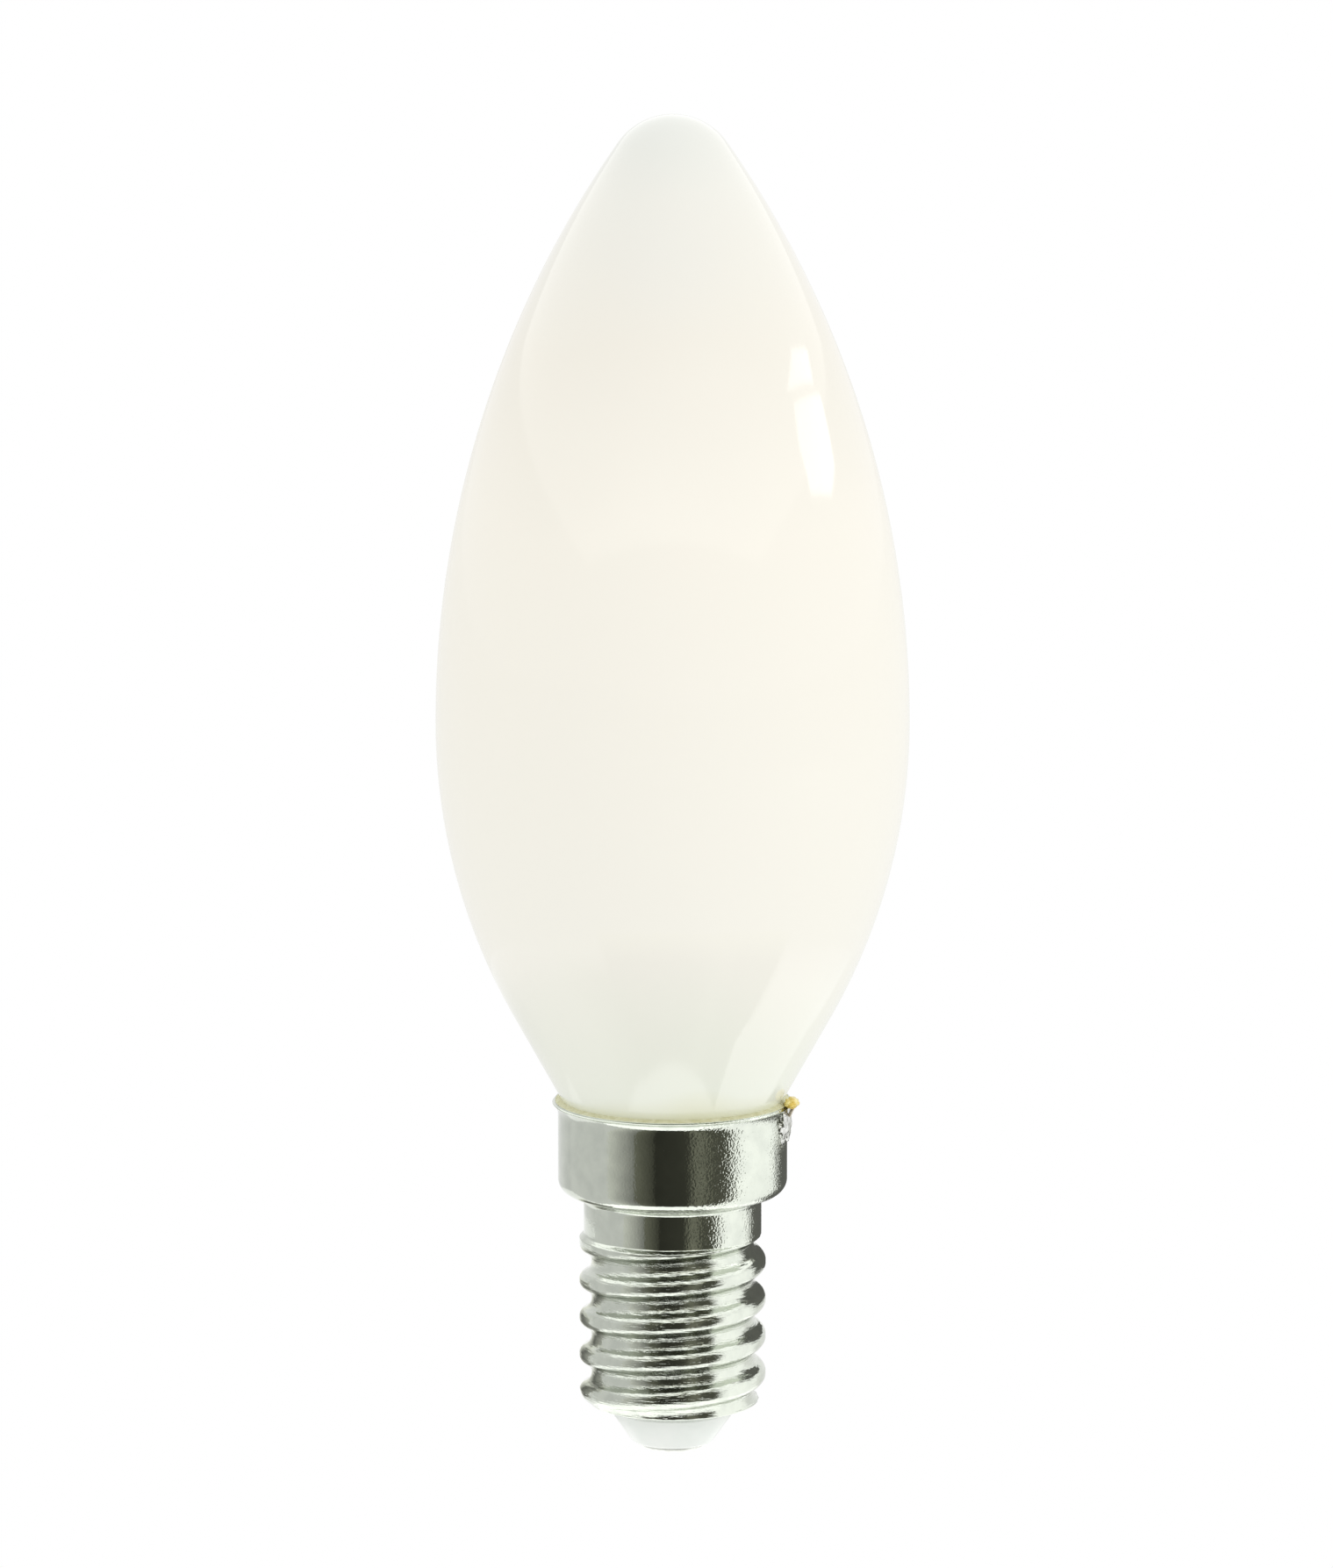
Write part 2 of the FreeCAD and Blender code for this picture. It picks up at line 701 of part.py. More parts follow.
PIECES = (
    glass_bulb,
    cap_shell,
    cement_ring,
    insulator,
    centre_contact,
    side_lead,
    centre_lead,
    side_solder,
    flux_bead,
)


# Checks and export
def check_document():
    for item in doc.Objects:
        if "Invalid" in item.State or "Error" in item.State:
            raise ValueError(f"{item.Label} did not build: {item.State}")
    for piece in PIECES:
        if piece.Shape.isNull() or not piece.Shape.isValid() or len(piece.Shape.Solids) != 1:
            raise ValueError(f"{piece.Label} is not one valid solid")


def write_parts():
    os.makedirs(PARTS_FOLDER, exist_ok=True)
    for piece in PIECES:
        piece.Shape.exportStep(f"{PARTS_FOLDER}/{piece.Label}.step")


check_document()
write_parts()
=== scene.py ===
# Candle bulb: its looks, in metres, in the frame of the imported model.
# Contact down at the origin, tip up; the camera looks along +Y.

import math

import bpy
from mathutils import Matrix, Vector, noise


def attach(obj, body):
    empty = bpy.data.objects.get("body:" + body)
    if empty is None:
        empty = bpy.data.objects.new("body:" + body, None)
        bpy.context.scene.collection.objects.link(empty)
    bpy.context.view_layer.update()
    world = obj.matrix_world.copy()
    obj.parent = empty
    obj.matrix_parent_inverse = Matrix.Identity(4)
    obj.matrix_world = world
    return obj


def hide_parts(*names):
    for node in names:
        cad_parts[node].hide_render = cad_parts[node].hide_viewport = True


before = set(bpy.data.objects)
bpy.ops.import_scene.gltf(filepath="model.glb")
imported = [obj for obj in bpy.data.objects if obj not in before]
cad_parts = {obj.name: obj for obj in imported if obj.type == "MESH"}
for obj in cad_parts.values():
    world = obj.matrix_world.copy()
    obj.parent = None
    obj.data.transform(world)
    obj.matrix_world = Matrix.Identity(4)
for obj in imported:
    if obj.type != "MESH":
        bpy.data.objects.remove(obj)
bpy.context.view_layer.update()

MM = 0.001
BODY = "root"
TAU = 2 * math.pi
ON_AXIS = 1e-6

# Sizes of the visible pieces, in millimetres and degrees, as in the solid model

# Glass
BULB_RADIUS, BELLY_HEIGHT, BULB_TOP = 17.5, 54.8, 100
UPPER_FLANK, LOWER_FLANK, TIP_RADIUS = 75.648, 45.087, 4.9
TIP_ANGLE = math.degrees(math.acos((UPPER_FLANK - BULB_RADIUS) / (UPPER_FLANK - TIP_RADIUS)))
NECK_RADIUS, NECK_CONE_ANGLE = 7.4, 29.2
NECK_FLARE_RADIUS, NECK_FLARE_HEIGHT = 8, 22.9
NECK_END_HEIGHT, NECK_END_CORNER = 21.2, 1
STUB_RADIUS, STUB_END_HEIGHT = 2, 14.7

# Cap; the rolled-in bottom and the step under the skirt lean alike
SHEET = 0.25
LEAN = math.radians(20)
SKIRT_RADIUS, BAND_RADIUS, BOTTOM_RADIUS = 8.5, 6.6, 4.4
BOTTOM_HEIGHT, BAND_HEIGHT, SKIRT_HEIGHT = 2.75, 16.3, 19
BASE_CORNER_RADIUS, STEP_FILLET_RADIUS, SKIRT_CORNER_RADIUS = 1.5, 0.45, 1.1
LIP_RADIUS, LIP_ANGLE, LIP_HEIGHT = 1.15, 56, 25.3
THREAD_RADIUS, ROOT_RADIUS, CREST_CUT = 6.925, 6.025, 0.02
PITCH, GROOVE_HEIGHT, GROOVE_OVERRUN = 2.822, 15.55, 0.3

# Insulator: its cone below the cap's bottom, and where it sits on that bottom
CONE_FACE_RADIUS, CONE_CORNER, CONE_ANGLE = 2.5, 0.8, 35
SEAT_INNER, SEAT_OUTER = (4.35, 2.998), (5.725, 3.498)
INSULATOR_TOP = 4.6

# Contact
FLAT_RADIUS, HEAD_RADIUS, HEAD_CORNER, HEAD_HEIGHT = 2, 2.3, 0.2, 0.35
SHANK_RADIUS, SHANK_TOP, BORE_RADIUS = 1, 3.6, 0.175

# Solder and flux
LEAD_AZIMUTH = math.radians(-14)


# Colour and nodes
def linear(code):
    """An sRGB hex code as a linear colour."""
    channels = [int(code[i:i + 2], 16) / 255 for i in (1, 3, 5)]
    return [c / 12.92 if c <= 0.04045 else ((c + 0.055) / 1.055) ** 2.4 for c in channels] + [1]


def new_material(name):
    """A material, its node tree and its shader."""
    material = bpy.data.materials.new(name)
    material.use_nodes = True
    return material, material.node_tree, material.node_tree.nodes["Principled BSDF"]


def add_node(tree, kind, settings=(), values=(), links=()):
    """A node with its settings, its socket values and the links that reach it."""
    node = tree.nodes.new(kind)
    for name, setting in dict(settings).items():
        setattr(node, name, setting)
    for socket, number in dict(values).items():
        node.inputs[socket].default_value = number
    for socket, source in dict(links).items():
        tree.links.new(source, node.inputs[socket])
    return node


def set_values(shader, **numbers):
    for name, number in numbers.items():
        shader.inputs[name.replace("_", " ")].default_value = number


def in_millimetres(tree, stretch=(1, 1, 1)):
    """Object coordinates in millimetres, each axis multiplied by its stretch."""
    place = add_node(tree, "ShaderNodeTexCoord").outputs["Object"]
    scale = {"Scale": tuple(factor / MM for factor in stretch)}
    return add_node(tree, "ShaderNodeMapping", values=scale, links={"Vector": place}).outputs[0]


def coordinate(tree, axis):
    """One axis of the object coordinates, in millimetres."""
    place = in_millimetres(tree)
    return add_node(tree, "ShaderNodeSeparateXYZ", links={"Vector": place}).outputs[axis]


def noise_of(tree, grain_mm, detail=2, stretch=(1, 1, 1)):
    """Noise whose grain has that size in millimetres."""
    values = {"Scale": 1 / grain_mm, "Detail": detail}
    links = {"Vector": in_millimetres(tree, stretch)}
    return add_node(tree, "ShaderNodeTexNoise", values=values, links=links).outputs["Fac"]


def between(tree, source, low, high, from_low=0.35, from_high=0.65):
    """Numbers from one range spread over another; the ranges' ends hold beyond it."""
    values = {"From Min": from_low, "From Max": from_high, "To Min": low, "To Max": high}
    links = {"Value": source}
    return add_node(tree, "ShaderNodeMapRange", values=values, links=links).outputs["Result"]


def calculate(tree, operation, first, second):
    settings = {"operation": operation}
    return add_node(tree, "ShaderNodeMath", settings, links={0: first, 1: second}).outputs[0]


def blend_colours(tree, source, first, second):
    """Two colours mixed by noise."""
    links = {"Factor": between(tree, source, 0, 1)}
    mix = add_node(tree, "ShaderNodeMix", {"data_type": "RGBA"}, links=links)
    mix.inputs["A"].default_value = linear(first)
    mix.inputs["B"].default_value = linear(second)
    return mix.outputs["Result"]


def bump(tree, height, depth_mm, shader):
    values = {"Distance": depth_mm * MM}
    node = add_node(tree, "ShaderNodeBump", values=values, links={"Height": height})
    tree.links.new(node.outputs["Normal"], shader.inputs["Normal"])


# Materials. The opal glass has its own warm tint and painted shade, darker at the cap end and
# towards the tip, at parts of the way from the cap to the tip.
SHADE_AND_TINT_FROM = 24
OPAL_TINTS_AND_SHADE = (
    (0.03, "#E2E3CA"),
    (0.06, "#EDF0E4"),
    (0.2, "#F6F4EB"),
    (0.62, "#F7F3E8"),
    (0.8, "#F0ECE1"),
    (0.92, "#ECEBE3"),
    (1, "#E5E7E1"),
)


def opal_glass():
    """Opal glass: blown, milky and warm, glossy; its own warm tint carries painted shade, darker
    and yellower at the cap and greyer at the tip.
    """
    material, tree, shader = new_material("opal glass")
    height = coordinate(tree, "Z")
    cloud = between(tree, noise_of(tree, 14, detail=1), -1.5, 1.5)
    warped = calculate(tree, "ADD", height, cloud)
    along = between(tree, warped, 0, 1, SHADE_AND_TINT_FROM, BULB_TOP)
    # The ramp paints shade into the colour: darker and yellower at the cap end, greyer towards the
    # tip.
    ramp = add_node(tree, "ShaderNodeValToRGB", links={"Fac": along})
    stops = ramp.color_ramp.elements
    for index, (position, tint) in enumerate(OPAL_TINTS_AND_SHADE):
        stop = stops[index] if index < len(stops) else stops.new(position)
        stop.position, stop.color = position, linear(tint)
    tree.links.new(ramp.outputs["Color"], shader.inputs["Base Color"])
    set_values(shader, Roughness=0.07, IOR=1.5)
    return material


def nickel_plate():
    """Nickel-plated brass sheet: smooth where drawn, grainy where worn, streaked where rolled."""
    material, tree, shader = new_material("nickel-plated brass")
    tone = noise_of(tree, 1.3, detail=3)
    tree.links.new(blend_colours(tree, tone, "#C9CEC4", "#D3D8CD"), shader.inputs["Base Color"])
    # Real grain and streaks are finer; these are as coarse as they need to be to show
    grain = noise_of(tree, 0.17, detail=1)
    streaks = noise_of(tree, 0.24, detail=3, stretch=(0.2, 0.2, 1.7))
    worn = between(tree, coordinate(tree, "X"), 0.1, 0.7, from_low=0.5, from_high=2.5)
    drawn = between(tree, coordinate(tree, "Z"), 0, 1, from_low=15.8, from_high=16.6)
    links = {"Factor": drawn, "A": streaks, "B": calculate(tree, "MULTIPLY", grain, worn)}
    relief = add_node(tree, "ShaderNodeMix", links=links)
    tree.links.new(between(tree, grain, 0.06, 0.1), shader.inputs["Roughness"])
    set_values(shader, Metallic=1)
    bump(tree, relief.outputs["Result"], 0.055, shader)
    return material


def cement():
    """Basing cement: pale yellow, dry and slightly rough."""
    material, tree, shader = new_material("basing cement")
    tone = noise_of(tree, 0.5)
    tree.links.new(blend_colours(tree, tone, "#DEDDBE", "#CFCDA6"), shader.inputs["Base Color"])
    set_values(shader, Roughness=0.75)
    bump(tree, noise_of(tree, 0.12), 0.02, shader)
    return material


def white_insulator():
    """White insulator: smooth and even, a soft shine."""
    material, tree, shader = new_material("white insulator")
    tone = noise_of(tree, 3)
    tree.links.new(blend_colours(tree, tone, "#EDF0EC", "#E6EBE6"), shader.inputs["Base Color"])
    set_values(shader, Roughness=0.3)
    return material


def tinned_contact():
    """Tinned contact: pale grey metal, slightly dull."""
    material, tree, shader = new_material("tinned contact")
    tone = noise_of(tree, 0.4, detail=3)
    tree.links.new(blend_colours(tree, tone, "#E4E6E1", "#D6D8D2"), shader.inputs["Base Color"])
    set_values(shader, Metallic=1, Roughness=0.55)
    bump(tree, tone, 0.01, shader)
    return material


def lead_wire():
    """Copper-clad lead wire, tinned over by the solder: a warm, dull grey."""
    material, tree, shader = new_material("copper-clad lead wire")
    tone = noise_of(tree, 0.4)
    tree.links.new(blend_colours(tree, tone, "#D6CEBE", "#B9AE9A"), shader.inputs["Base Color"])
    set_values(shader, Metallic=1, Roughness=0.5)
    return material


def tin_solder():
    """Tin solder: bright, wrinkled where it froze."""
    material, tree, shader = new_material("tin solder")
    tone = noise_of(tree, 0.35, detail=3)
    tree.links.new(blend_colours(tree, tone, "#D9DAD6", "#B4B5B0"), shader.inputs["Base Color"])
    set_values(shader, Metallic=1, Roughness=0.22)
    bump(tree, noise_of(tree, 0.3), 0.08, shader)
    return material


def flux_resin():
    """Rosin flux: a pale yellow drip, glossy."""
    material, tree, shader = new_material("rosin flux")
    tone = noise_of(tree, 0.5)
    tree.links.new(blend_colours(tree, tone, "#F5E79C", "#DDBD4C"), shader.inputs["Base Color"])
    set_values(shader, Roughness=0.15, IOR=1.5)
    return material


# Meshes
def mesh_object(name, verts, faces, material):
    """A smooth-shaded object in metres, of one material."""
    mesh = bpy.data.meshes.new(name)
    mesh.from_pydata(verts, [], faces)
    mesh.validate()
    mesh.polygons.foreach_set("use_smooth", [True] * len(mesh.polygons))
    mesh.materials.append(material)
    piece = bpy.data.objects.new(name, mesh)
    bpy.context.scene.collection.objects.link(piece)
    return piece


def add_piece(name, verts, faces, material, slot, nodes):
    """A mesh in millimetres that rides on the body and stands for the named nodes."""
    piece = mesh_object(name, [Vector(vert) * MM for vert in verts], faces, material)
    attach(piece, BODY)
    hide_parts(*nodes)


def polar(radius, azimuth, height):
    return (radius * math.cos(azimuth), radius * math.sin(azimuth), height)


def grid_faces(rows, columns, wrap_rows=False, wrap_columns=True):
    """Quads over a grid of points, its columns running round the axis."""
    faces = []
    for row in range(rows if wrap_rows else rows - 1):
        start, next_start = row * columns, (row + 1) % rows * columns
        for column in range(columns if wrap_columns else columns - 1):
            after = (column + 1) % columns
            faces.append(
                (start + column, start + after, next_start + after, next_start + column)
            )
    return faces


def turned(profile, segments, closed=False):
    """A profile of (radius, height) turned about the axis; an end on the axis closes with a fan."""
    verts = []
    rows = [point for point in profile if point[0] > ON_AXIS]
    for radius, height in rows:
        verts += [polar(radius, TAU * k / segments, height) for k in range(segments)]
    faces = grid_faces(len(rows), segments, wrap_rows=closed)
    if profile[0][0] <= ON_AXIS:
        verts.append((0, 0, profile[0][1]))
        faces += [(len(verts) - 1, (k + 1) % segments, k) for k in range(segments)]
    if profile[-1][0] <= ON_AXIS:
        verts.append((0, 0, profile[-1][1]))
        start = (len(rows) - 1) * segments
        faces += [
            (len(verts) - 1, start + k, start + (k + 1) % segments) for k in range(segments)
        ]
    return verts, faces


def arc(centre, radius, start, end, steps):
    """Points of an arc in the profile plane, in degrees from the radial direction."""
    points = []
    for step in range(steps + 1):
        angle = math.radians(start + (end - start) * step / steps)
        points.append((centre[0] + radius * math.cos(angle), centre[1] + radius * math.sin(angle)))
    return points


# Glass: from the end of its stub inside the cap, round the neck's end and up to the tip
def glass_profile():
    neck_end_centre = (NECK_RADIUS - NECK_END_CORNER, NECK_END_HEIGHT + NECK_END_CORNER)
    flare_centre = (NECK_RADIUS + NECK_FLARE_RADIUS, NECK_FLARE_HEIGHT)
    lower_centre = (BULB_RADIUS - LOWER_FLANK, BELLY_HEIGHT)
    upper_centre = (BULB_RADIUS - UPPER_FLANK, BELLY_HEIGHT)
    return [
        (0, STUB_END_HEIGHT),
        *arc((0, STUB_END_HEIGHT + STUB_RADIUS), STUB_RADIUS, -80, 0, 8),
        (STUB_RADIUS, NECK_END_HEIGHT),
        *arc(neck_end_centre, NECK_END_CORNER, -90, 0, 6),
        *arc(flare_centre, NECK_FLARE_RADIUS, 180, 180 - NECK_CONE_ANGLE, 12),
        *arc(lower_centre, LOWER_FLANK, -NECK_CONE_ANGLE, 0, 40),
        *arc(upper_centre, UPPER_FLANK, 0, TIP_ANGLE, 48)[1:],
        *arc((0, BULB_TOP - TIP_RADIUS), TIP_RADIUS, TIP_ANGLE, 90, 20)[1:-1],
        (0, BULB_TOP),
    ]


add_piece("glass", *turned(glass_profile(), 256), opal_glass(), "opal_glass", ["glass_bulb"])


# Cap: one rolled sheet, its thread a round-bottomed groove that winds up to the right
BASE_CORNER_X = THREAD_RADIUS - BASE_CORNER_RADIUS
BASE_CORNER = (
    BASE_CORNER_X,
    BOTTOM_HEIGHT
    + (BASE_CORNER_X - BOTTOM_RADIUS) * math.tan(LEAN)
    + BASE_CORNER_RADIUS / math.cos(LEAN),
)
STEP_FILLET = (
    BAND_RADIUS + STEP_FILLET_RADIUS,
    SKIRT_HEIGHT + STEP_FILLET_RADIUS * (math.tan(LEAN) - 1 / math.cos(LEAN)),
)
SKIRT_CORNER_X = SKIRT_RADIUS - SKIRT_CORNER_RADIUS
SKIRT_CORNER = (
    SKIRT_CORNER_X,
    SKIRT_HEIGHT
    + (SKIRT_CORNER_X - BAND_RADIUS) * math.tan(LEAN)
    + SKIRT_CORNER_RADIUS / math.cos(LEAN),
)
LIP_CENTRE = (SKIRT_RADIUS + LIP_RADIUS, LIP_HEIGHT)
BLEND = THREAD_RADIUS - BAND_RADIUS
# How far the ends of the 45 degree blend move down for each millimetre that the wall moves in
BLEND_SHIFT = 0.414
GROOVE_DEPTH = THREAD_RADIUS + CREST_CUT - ROOT_RADIUS
GROOVE_ARC = (GROOVE_DEPTH ** 2 + (PITCH / 2) ** 2) / (4 * GROOVE_DEPTH)
# Distances between the rows of the mesh
OUTER_STEP, INNER_STEP, BOTTOM_STEP, UNDERSIDE_STEP, SKIRT_STEP = 0.075, 0.3, 0.3, 0.25, 1


def steps_between(start, end, length):
    """Points on a line, about that far apart, without the first."""
    count = max(1, round(math.dist(start, end) / length))
    return [
        (start[0] + (end[0] - start[0]) * k / count, start[1] + (end[1] - start[1]) * k / count)
        for k in range(1, count + 1)
    ]


def wall_profile(inset, length, lip_trim):
    """The cap's side from its bottom edge to the lip, moved inwards by inset."""
    bottom = (BOTTOM_RADIUS, BOTTOM_HEIGHT + inset / math.cos(LEAN))
    points = [bottom]
    corner = arc(BASE_CORNER, BASE_CORNER_RADIUS - inset, -70, 0, 16)
    points += steps_between(bottom, corner[0], BOTTOM_STEP) + corner[1:]
    turn_in = (THREAD_RADIUS - inset, BAND_HEIGHT - BLEND - inset * BLEND_SHIFT)
    band = (BAND_RADIUS - inset, BAND_HEIGHT - inset * BLEND_SHIFT)
    points += steps_between(points[-1], turn_in, length) + steps_between(turn_in, band, length)
    fillet = arc(STEP_FILLET, STEP_FILLET_RADIUS + inset, 180, 110, 10)
    points += steps_between(band, fillet[0], 2 * length) + fillet[1:]
    skirt = arc(SKIRT_CORNER, SKIRT_CORNER_RADIUS - inset, -70, 0, 16)
    points += steps_between(fillet[-1], skirt[0], UNDERSIDE_STEP) + skirt[1:]
    points += steps_between(points[-1], (SKIRT_RADIUS - inset, LIP_HEIGHT), SKIRT_STEP)
    return points + arc(LIP_CENTRE, LIP_RADIUS + inset, 180, 180 - LIP_ANGLE + lip_trim, 14)[1:]


def groove_radius(azimuth, height):
    """Radius of the rolled groove's surface there; it runs out round the back."""
    turn = azimuth / TAU
    nearest = round((height - GROOVE_HEIGHT) / PITCH - turn)
    nearest = min(nearest, 0 if turn <= 0.5 else -1)
    off = abs(height - GROOVE_HEIGHT - (nearest + turn) * PITCH)
    lift = max(0, nearest + turn) / GROOVE_OVERRUN
    if off > PITCH / 2:
        return math.inf
    if off < PITCH / 4:
        radius = ROOT_RADIUS + GROOVE_ARC - math.sqrt(GROOVE_ARC ** 2 - off ** 2)
    else:
        flank = math.sqrt(GROOVE_ARC ** 2 - (PITCH / 2 - off) ** 2)
        radius = ROOT_RADIUS + GROOVE_DEPTH - GROOVE_ARC + flank
    return radius + GROOVE_DEPTH * lift ** 2


def cap_mesh(columns):
    """The sheet's outer side, its half-round edge at the lip and its inner side."""
    middle = LIP_RADIUS + SHEET / 2
    trim = math.degrees(SHEET / 2 / middle)
    outer = [(point, 0) for point in wall_profile(0, OUTER_STEP, trim)]
    inner = [(point, SHEET) for point in wall_profile(SHEET, INNER_STEP, trim)]
    lip_end = 180 - LIP_ANGLE + trim
    along = math.radians(lip_end)
    rim = (LIP_CENTRE[0] + middle * math.cos(along), LIP_CENTRE[1] + middle * math.sin(along))
    edge = [(point, 0) for point in arc(rim, SHEET / 2, lip_end + 180, lip_end, 8)[1:-1]]
    rows = outer + edge + inner[::-1]
    verts = []
    for (radius, height), inset in rows:
        for k in range(columns):
            azimuth = TAU * k / columns
            cut = groove_radius(azimuth, height) - inset
            verts.append(polar(min(radius, cut), azimuth, height))
    return verts, grid_faces(len(rows), columns, wrap_rows=True)


add_piece("cap", *cap_mesh(240), nickel_plate(), "nickelled_brass", ["cap_shell"])


# Insulator and contact
def insulator_profile():
    corner_centre = (CONE_FACE_RADIUS, HEAD_HEIGHT + CONE_CORNER)
    corner = arc(corner_centre, CONE_CORNER, -90, -CONE_ANGLE, 8)
    rise = (SEAT_INNER[0] - corner[-1][0]) / math.tan(math.radians(CONE_ANGLE))
    return [
        (SHANK_RADIUS, HEAD_HEIGHT),
        *corner,
        (SEAT_INNER[0], corner[-1][1] + rise),
        SEAT_INNER,
        SEAT_OUTER,
        (SEAT_OUTER[0], INSULATOR_TOP),
        (SHANK_RADIUS, INSULATOR_TOP),
    ]


def contact_profile():
    return [
        (0, 0),
        (FLAT_RADIUS, 0),
        *arc((HEAD_RADIUS - HEAD_CORNER, HEAD_CORNER), HEAD_CORNER, -90, 0, 5),
        (HEAD_RADIUS, HEAD_HEIGHT),
        (SHANK_RADIUS, HEAD_HEIGHT),
        (SHANK_RADIUS, SHANK_TOP),
        (BORE_RADIUS, SHANK_TOP),
        (BORE_RADIUS, HEAD_HEIGHT),
        (0, HEAD_HEIGHT),
    ]


plug = turned(insulator_profile(), 128, closed=True)
add_piece("insulator_plug", *plug, white_insulator(), "white_insulator", ["insulator"])
rivet = turned(contact_profile(), 96)
add_piece("contact_rivet", *rivet, tinned_contact(), "tinned_contact", ["centre_contact"])


# Solder and flux: drops with uneven skins
DROP_RINGS, DROP_SEGMENTS, WRINKLES = 28, 40, 2.3


def drop(half_sizes, from_axis, height, uneven_mm, seed, innermost):
    """An uneven ellipsoid at the lead, no nearer the axis than innermost says for its height.

    Its half sizes are its depth, its width round the cap and its height.
    """
    half_depth, half_width, half_height = half_sizes
    angles = [math.pi * (k / DROP_RINGS - 0.5) for k in range(DROP_RINGS + 1)]
    verts, faces = turned([(math.cos(a), math.sin(a)) for a in angles], DROP_SEGMENTS)
    placed = []
    for x, y, z in verts:
        skin = noise.noise(Vector((x, y, z)) * WRINKLES + Vector((seed, 0, 0)))
        wobble = 1 + uneven_mm / half_depth * skin
        level = height + z * half_height * wobble
        across = y * half_width * wobble
        radius = max(from_axis + x * half_depth * wobble, innermost(level))
        azimuth = LEAD_AZIMUTH + math.atan2(across, radius)
        placed.append(polar(math.hypot(radius, across), azimuth, level))
    return placed, faces


def skirt_surface(height):
    """Radius in the middle of the skirt's sheet at a height."""
    if height <= LIP_HEIGHT:
        return SKIRT_RADIUS - SHEET / 2
    rise = min(height - LIP_HEIGHT, LIP_RADIUS)
    return LIP_CENTRE[0] - math.sqrt((LIP_RADIUS + SHEET / 2) ** 2 - rise ** 2)


solder_drop = drop((0.45, 1.2, 1.45), 8.52, 24.9, uneven_mm=0.16, seed=3, innermost=skirt_surface)
add_piece("solder", *solder_drop, tin_solder(), "solder", ["side_solder"])
flux_drop = drop(
    (0.52, 0.85, 0.42), 9.08, 26.55, uneven_mm=0.12, seed=9, innermost=lambda level: SKIRT_RADIUS
)
add_piece("flux", *flux_drop, flux_resin(), "flux", ["flux_bead"])


# The ring of cement and the leads keep the solid model's meshes
for node, material, slot in (
    ("cement_ring", cement(), "cement"),
    ("side_lead", lead_wire(), "lead_wire"),
    ("centre_lead", lead_wire(), "lead_wire"),
):
    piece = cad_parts[node]
    piece.data.materials.clear()
    piece.data.materials.append(material)


# Stage, in metres: reflector cards and panes that only mirrors see, floor, lamp and camera
def glow(name, strength, tint="#FFFFFF"):
    """A material that gives light, its node tree and the node that gives the light."""
    material, tree, _ = new_material(name)
    values = {"Color": linear(tint), "Strength": strength}
    light = add_node(tree, "ShaderNodeEmission", values=values)
    tree.links.new(light.outputs[0], tree.nodes["Material Output"].inputs["Surface"])
    return material, tree, light


def stage_mesh(name, verts, faces, material):
    piece = mesh_object(name, verts, faces, material)
    return piece


def only_mirrors(piece):
    """Seen in reflections, but by neither the camera nor matte surfaces."""
    piece.visible_camera = False
    piece.visible_diffuse = False
    piece.visible_transmission = False
    piece.visible_shadow = False


def direction(turn, rise):
    """Unit vector, in degrees: turn from the camera's side towards +X, rise above the horizon."""
    turn, rise = math.radians(turn), math.radians(rise)
    level = math.cos(rise)
    return Vector((math.sin(turn) * level, -math.cos(turn) * level, math.sin(rise)))


def facing_back(bearing):
    """Rotation of a lamp or camera that stands on that bearing and looks back along it."""
    return (-bearing).to_track_quat("-Z", "Y").to_euler()


# Cards stand close round the cap, under the glass. Each is given by its tint, by its distance from
# the axis, by the part of the cap's side that mirrors it to the camera, in degrees from the side
# that faces the camera, by its light at both ends and by the heights of its lower edge, of the end
# of its even part and of the end of its fade into the light of the room.
MIRROR_RADIUS, ROOM_LIGHT, COLUMN_DEGREES = 0.0076, 1, 2
CARDS = (
    ("card_left_back", "#FFFFFF", 0.026, -90, -62, 0.95, 0.72, 0.0125, 0.0225, 0.03),
    ("card_left_bright", "#FFFFFF", 0.026, -90, -62, 1.1, 1.1, -0.012, 0.0105, 0.0125),
    ("card_left_rim", "#FFFFF6", 0.013, -89, -78, 0.95, 0.15, 0.0, 0.0105, 0.0125),
    ("card_left_marks", "#FFFFF6", 0.013, -78, -65, 0.13, 0.45, 0.0, 0.0105, 0.0125),
    ("card_left", "#FFFFFF", 0.026, -62, -34, 0.77, 0.73, -0.01, 0.0225, 0.03),
    ("card_left_edge", "#FFFFF9", 0.026, -34, -19, 0.73, 0.24, -0.008, 0.0225, 0.03),
    ("card_front_left", "#FFFFE6", 0.026, -19, -9, 0.17, 0.06, -0.009, 0.0262, 0.032),
    ("card_front", "#FFFFE6", 0.026, -9, 7, 0.035, 0.05, -0.009, 0.0262, 0.032),
    ("card_front_grey", "#FFFFE6", 0.026, 7, 13, 0.05, 0.22, -0.009, 0.0262, 0.032),
    ("card_front_stripe", "#FFFFE6", 0.026, 13, 18, 0.22, 0.17, -0.009, 0.0262, 0.032),
    ("card_front_far", "#FFFFE6", 0.026, 18, 31, 0.07, 0.12, -0.009, 0.0262, 0.032),
    ("card_right", "#FFFFFF", 0.026, 32.5, 64, 1.4, 1.3, -0.02, 0.0225, 0.03),
    ("card_right_back", "#FFFFF6", 0.014, 62, 90, 0.16, 0.12, 0.0105, 0.0215, 0.0228),
)


